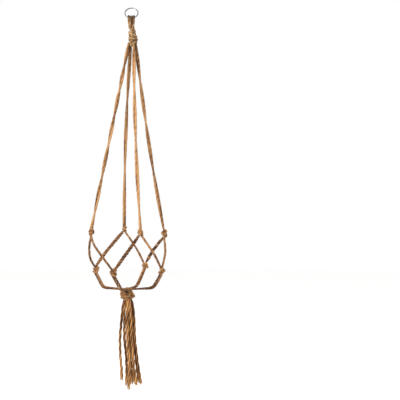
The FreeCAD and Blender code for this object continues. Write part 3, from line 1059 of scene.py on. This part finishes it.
def make_gathering_knot():
    """All eight cords tied together under the pot."""
    entries = [(f"base_{name}_{letter}", True) for name in BASE for letter in "ab"]
    exits = [f"tassel_strand_{number}" for number in range(1, len(STRANDS) + 1)]
    sizes = dict(GATHERING_KNOT_SIZES, centre=GATHERING_KNOT - Vector((0, 0, GATHERING_KNOT_DROP)))
    tones = random.uniform(-0.20, 0.07, len(entries))
    tied_piece("gathering_knot", entries, exits, sizes, GATHERING_KNOT_CORD, tones, GATHERING_KNOT_DRIFT)


# ---------------------------------------------------------------- tassel
STRAND_TONES = (-0.14, -0.18, -0.06, -0.12, -0.20, -0.02, -0.10, -0.14)
STRAND_LAY = 12.0
STRAND_MIX = 0.08
# The strands that hang apart from the others are thinner, and flare wider at their ends.
APART = (1, 2)
APART_SWELL = 1.0
APART_FLARE = 0.85
CLOSE_SWELL = 1.13
CLOSE_FLARE = 0.4
# Below the knot the plies slacken over a length, by a share of their usual reach.
SLACKEN = 0.07
SLACK_SPREAD = 0.45
# The frayed end: its length, how much lighter it is, and where and how much its plies thin out.
FRAY = 0.055
FRAY_LIGHTER = 0.20
POINT = 0.014
POINT_THINNER = 0.75


def make_tassel():
    """The eight slack strands, their plies opening into frayed ends."""
    for number in range(1, len(STRANDS) + 1):
        line = LINES[f"tassel_strand_{number}"]
        fibres = Fibres()
        left = line.length - line.run
        slack = np.clip(line.run / SLACKEN, 0, 1)
        opened = np.clip(1 - left / FRAY, 0, 1)
        flare = APART_FLARE if number in APART else CLOSE_FLARE
        spread = 1 + SLACK_SPREAD * slack * slack * (3 - 2 * slack) + flare * opened ** 1.5
        thin = 1 - POINT_THINNER * np.clip(1 - left / POINT, 0, 1)
        lead = LEADS.get((f"tassel_strand_{number}", False))
        tone = STRAND_TONES[number - 1] + FRAY_LIGHTER * opened
        swell = np.full(len(line.run), APART_SWELL if number in APART else CLOSE_SWELL)
        add_plies(fibres, line, STRAND, tone, swell, spread, thin, STRAND_LAY, lead, STRAND_MIX)
        add_hairs(fibres, line, STRAND, HAIRS_PER_METRE)
        add_brush(fibres, line)
        piece = fibres.make(f"cord_tassel_strand_{number}")
        piece.data.materials.append(JUTE["jute_tassel"])
        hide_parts(f"tassel_strand_{number}")
        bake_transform(piece)


BRUSH_FIBRES = 110
BRUSH_POINTS = 6
BRUSH_LIGHTEST = 0.50
# How far from the strand's line its brush starts, how far every fibre rises from there, and how
# much further the widest ones do.
BRUSH_ROOT = 0.0013
BRUSH_RISE = 0.0009
BRUSH_REACH = 0.0032


def add_brush(fibres, line):
    """Loose fibres that spread at a strand's cut end."""
    for _ in range(BRUSH_FIBRES):
        back = random.uniform(0.012, FRAY)
        reach = random.uniform(0.3, 1.0)
        turn = random.uniform(0, 2 * math.pi)
        share = np.linspace(0, 1, BRUSH_POINTS)
        ends_short = random.uniform(0.0, 0.012)
        at = line.length - back + share * (back - ends_short)
        curl = turn + random.uniform(-1.0, 1.0) * share
        lift = BRUSH_ROOT + (BRUSH_RISE + BRUSH_REACH * reach) * share ** 1.3
        tone = random.uniform(0.10, BRUSH_LIGHTEST)
        radius = random.uniform(0.00016, 0.00034)
        add_fibre(fibres, beside(line, at, curl, lift), radius, tone)


# ---------------------------------------------------------------- camera, light and floor
VIEW_DISTANCE = 2.199
VIEW_HEIGHT = -0.5302
STEP_RIGHT = 0.1889
LENS_MM = 72
SENSOR_MM = 36
# How far the floor lies below the tassel, and the floor's size.
FLOOR_DROP = 0.45
FLOOR_RADIUS = 9.0
FLOOR_SIDES = 96
# The point the lamps face; each lamp's place, width, power and colour.
LIT_POINT = (0, 0, -0.5)
LAMPS = {
    "key": ((-1.3, -2.3, 1.1), 1.0, 150, (1.0, 0.98, 0.95)),
    "fill": ((2.2, -1.6, -0.2), 1.6, 24, (1, 1, 1)),
    "rim": ((0.8, 2.0, 0.8), 1.4, 20, (1, 1, 1)),
}


def make_camera():
    """Level camera at the height of the hanger's middle, a small step to its right."""
    data = bpy.data.cameras.new("camera")
    data.lens = LENS_MM
    data.sensor_width = SENSOR_MM
    camera = bpy.data.objects.new("camera", data)
    bpy.context.collection.objects.link(camera)
    camera.location = (STEP_RIGHT, PIVOT.y - VIEW_DISTANCE, VIEW_HEIGHT)
    camera.rotation_euler = (math.radians(90), 0, 0)
    bpy.context.scene.camera = camera


def area_light(name, place, width, power, colour):
    """A soft square lamp that faces the lit point."""
    data = bpy.data.lights.new(name, "AREA")
    data.size = width
    data.energy = power
    data.color = colour
    lamp = bpy.data.objects.new(name, data)
    bpy.context.collection.objects.link(lamp)
    lamp.location = place
    lamp.rotation_mode = "QUATERNION"
    lamp.rotation_quaternion = (Vector(LIT_POINT) - Vector(place)).to_track_quat("-Z", "Y")


def make_studio():
    """White surroundings, a pale floor well below the tassel and soft lamps."""
    bpy.context.scene.view_settings.view_transform = "Standard"
    world = bpy.data.worlds.new("studio")
    bpy.context.scene.world = world
    world.use_nodes = True
    background = world.node_tree.nodes["Background"]
    socket(background, "Color", (1, 1, 1, 1))
    socket(background, "Strength", 1.0)

    height = CAD_BOX[0][2] - FLOOR_DROP
    angles = [2 * math.pi * step / FLOOR_SIDES for step in range(FLOOR_SIDES)]
    corners = [(FLOOR_RADIUS * math.cos(angle), FLOOR_RADIUS * math.sin(angle), height) for angle in angles]
    mesh = bpy.data.meshes.new("floor")
    mesh.from_pydata(corners, [], [list(range(FLOOR_SIDES))])
    floor = bpy.data.objects.new("floor", mesh)
    bpy.context.collection.objects.link(floor)
    material, _, shader = new_material("floor_paper")
    socket(shader, "Base Color", (0.965, 0.965, 0.96, 1))
    socket(shader, "Roughness", 0.9)
    mesh.materials.append(material)

    for name, lamp in LAMPS.items():
        area_light(name, *lamp)


make_camera()
lay_loops()
lay_legs()
lay_net()
lay_base()
lay_tassel()
make_top()
make_basket()
make_gathering_knot()
make_tassel()
ring = frame["nodes"]["hanging_ring"]
ring.data.materials.clear()
ring.data.materials.append(metal_material("ring_steel"))
make_studio()
